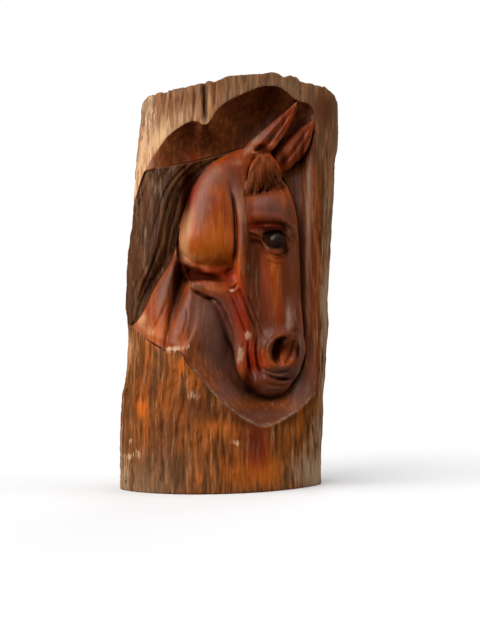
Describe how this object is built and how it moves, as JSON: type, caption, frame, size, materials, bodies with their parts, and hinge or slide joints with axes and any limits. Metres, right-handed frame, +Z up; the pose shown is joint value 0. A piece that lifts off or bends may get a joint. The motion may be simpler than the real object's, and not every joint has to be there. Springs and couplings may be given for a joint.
{
  "type": "horse head relief carved in a log section",
  "caption": "Standing log section with a horse's head and neck carved in relief in a niche of its bark face; it rests on its flat sawn foot as a decorative sculpture.",
  "frame": {"origin": "on the flat sawn underside, midway across the piece's width and depth", "axes": "+Z up along the log, -Y towards the carved bark face, +X to the right as the carving is seen"},
  "size_m": [0.2891, 0.1154, 0.5004],
  "materials": {
    "oiled_wood": "dark red-brown stained and varnished, glossy on the carving, weathered bark grain on the rim and the foot"
  },
  "bodies": {
    "root": {"carved_log_horse_head": "oiled_wood"}
  },
  "joints": []
}
